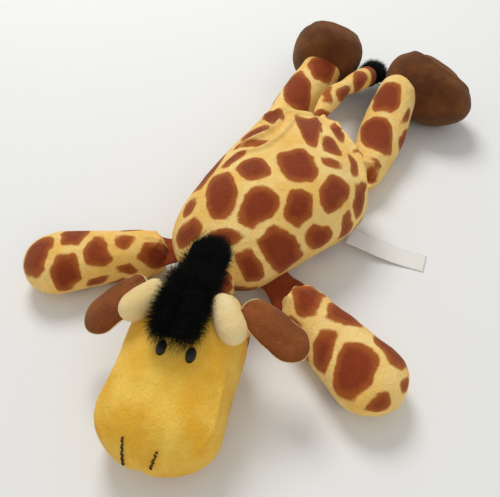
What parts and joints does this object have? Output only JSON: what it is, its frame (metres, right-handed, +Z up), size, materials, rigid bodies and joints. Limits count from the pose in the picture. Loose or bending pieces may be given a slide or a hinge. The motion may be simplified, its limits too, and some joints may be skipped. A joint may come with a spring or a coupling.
{
  "type": "plush giraffe",
  "caption": "Floppy stuffed giraffe lying on its belly: printed torso, hinged head, arms, legs with plump feet, horns, leaf ears, fur mane and tufted tail.",
  "frame": {"origin": "On the table under the belly, where the torso rests.", "axes": "+Z up, -Y towards the muzzle, +Y towards the feet, +X towards the side with the label."},
  "size_m": [0.248, 0.4169, 0.0665],
  "materials": {
    "printed_plush": "matte",
    "mustard_plush": "matte",
    "cream_felt": "matte",
    "brown_plush": "matte",
    "black_thread": "satin",
    "brown_thread": "satin",
    "black_fur": "matte",
    "white_ribbon": "satin",
    "fibre_filling": "matte",
    "pellet_filling": "matte"
  },
  "bodies": {
    "torso": {"torso_skin": "printed_plush", "torso_filling": "fibre_filling", "pellet_pouch": "pellet_filling"},
    "neck": {"neck": "printed_plush"},
    "head": {"crown_panel": "printed_plush", "face_panel": "mustard_plush", "chin_panel": "mustard_plush", "head_filling": "fibre_filling", "eye_left": "black_thread", "eye_right": "black_thread", "nostril_left": "brown_thread", "nostril_right": "brown_thread", "mane": "black_fur"},
    "horn_left": {"horn_left": "cream_felt"},
    "ear_left": {"ear_left": "brown_plush", "ear_left_lining": "cream_felt"},
    "arm_left_root": {"arm_left_root": "printed_plush"},
    "arm_left": {"arm_left": "printed_plush", "arm_left_filling": "fibre_filling"},
    "leg_left_root": {"leg_left_root": "printed_plush"},
    "leg_left": {"leg_left": "printed_plush", "leg_left_filling": "fibre_filling"},
    "foot_left": {"foot_left": "brown_plush", "sole_left": "brown_plush", "foot_left_pellets": "pellet_filling"},
    "horn_right": {"horn_right": "cream_felt"},
    "ear_right": {"ear_right": "brown_plush", "ear_right_lining": "cream_felt"},
    "arm_right_root": {"arm_right_root": "printed_plush"},
    "arm_right": {"arm_right": "printed_plush", "arm_right_filling": "fibre_filling"},
    "leg_right_root": {"leg_right_root": "printed_plush"},
    "leg_right": {"leg_right": "printed_plush", "leg_right_filling": "fibre_filling"},
    "foot_right": {"foot_right": "brown_plush", "sole_right": "brown_plush", "foot_right_pellets": "pellet_filling"},
    "tail": {"tail": "printed_plush", "tail_tuft": "black_fur"},
    "label": {"side_label": "white_ribbon"}
  },
  "joints": [
    {"name": "neck_nod", "type": "hinge", "parent": "torso", "child": "neck", "pos_m": [-0.0045, -0.071, 0.031], "axis": [-1, 0, 0], "range_deg": [-25, 25]},
    {"name": "head_turn", "type": "hinge", "parent": "neck", "child": "head", "pos_m": [-0.0045, -0.071, 0.031], "axis": [0, 0, 1], "range_deg": [-15, 15]},
    {"name": "horn_left_bend", "type": "hinge", "parent": "head", "child": "horn_left", "pos_m": [-0.01544, -0.10544, 0.05889], "axis": [-0.9011, 0.4337, 0], "range_deg": [0, 35], "stiffness_Nm_per_rad": 0.02},
    {"name": "horn_right_bend", "type": "hinge", "parent": "head", "child": "horn_right", "pos_m": [0.01978, -0.09776, 0.05889], "axis": [-0.6388, -0.7694, 0], "range_deg": [0, 35], "stiffness_Nm_per_rad": 0.02},
    {"name": "ear_left_flap", "type": "hinge", "parent": "head", "child": "ear_left", "pos_m": [-0.03006, -0.09558, 0.049], "axis": [-0.8599, 0.5105, 0], "range_deg": [-5, 40], "stiffness_Nm_per_rad": 0.02},
    {"name": "ear_right_flap", "type": "hinge", "parent": "head", "child": "ear_right", "pos_m": [0.0263, -0.08508, 0.049], "axis": [-0.2028, -0.9792, 0], "range_deg": [-5, 40], "stiffness_Nm_per_rad": 0.02},
    {"name": "arm_left_lift", "type": "hinge", "parent": "torso", "child": "arm_left_root", "pos_m": [-0.04721, -0.04444, 0.016], "axis": [-0.5878, 0.809, 0], "range_deg": [-45, 40]},
    {"name": "arm_left_sweep", "type": "hinge", "parent": "arm_left_root", "child": "arm_left", "pos_m": [-0.06339, -0.0562, 0.016], "axis": [0, 0, -1], "range_deg": [-8, 40]},
    {"name": "arm_right_lift", "type": "hinge", "parent": "torso", "child": "arm_right_root", "pos_m": [0.02354, -0.03828, 0.016], "axis": [-0.454, -0.891, 0], "range_deg": [-45, 40]},
    {"name": "arm_right_sweep", "type": "hinge", "parent": "arm_right_root", "child": "arm_right", "pos_m": [0.04849, -0.05099, 0.016], "axis": [0, 0, 1], "range_deg": [-8, 44]},
    {"name": "leg_left_lift", "type": "hinge", "parent": "torso", "child": "leg_left_root", "pos_m": [-0.04938, 0.07536, 0.016], "axis": [0.9981, -0.061, 0], "range_deg": [-45, 38]},
    {"name": "leg_left_splay", "type": "hinge", "parent": "leg_left_root", "child": "leg_left", "pos_m": [-0.04761, 0.10431, 0.016], "axis": [0, 0, 1], "range_deg": [0, 30]},
    {"name": "foot_left_flex", "type": "hinge", "parent": "leg_left", "child": "foot_left", "pos_m": [-0.04292, 0.18113, 0.03235], "axis": [0.9981, -0.061, 0], "range_deg": [-11, 11]},
    {"name": "leg_right_lift", "type": "hinge", "parent": "torso", "child": "leg_right_root", "pos_m": [0.03452, 0.07234, 0.016], "axis": [0.9976, 0.0698, 0], "range_deg": [-45, 38]},
    {"name": "leg_right_splay", "type": "hinge", "parent": "leg_right_root", "child": "leg_right", "pos_m": [0.0332, 0.0913, 0.016], "axis": [0, 0, -1], "range_deg": [0, 26]},
    {"name": "foot_right_flex", "type": "hinge", "parent": "leg_right", "child": "foot_right", "pos_m": [0.02783, 0.16808, 0.03235], "axis": [0.9976, 0.0698, 0], "range_deg": [-11, 11]},
    {"name": "tail_lift", "type": "hinge", "parent": "torso", "child": "tail", "pos_m": [-0.01236, 0.1022, 0.0396], "axis": [1, 0, 0], "range_deg": [-3, 75]},
    {"name": "label_flap", "type": "hinge", "parent": "torso", "child": "label", "pos_m": [0.04549, 0.02765, 0.009], "axis": [0.1392, -0.9903, 0], "range_deg": [-20, 50]}
  ]
}
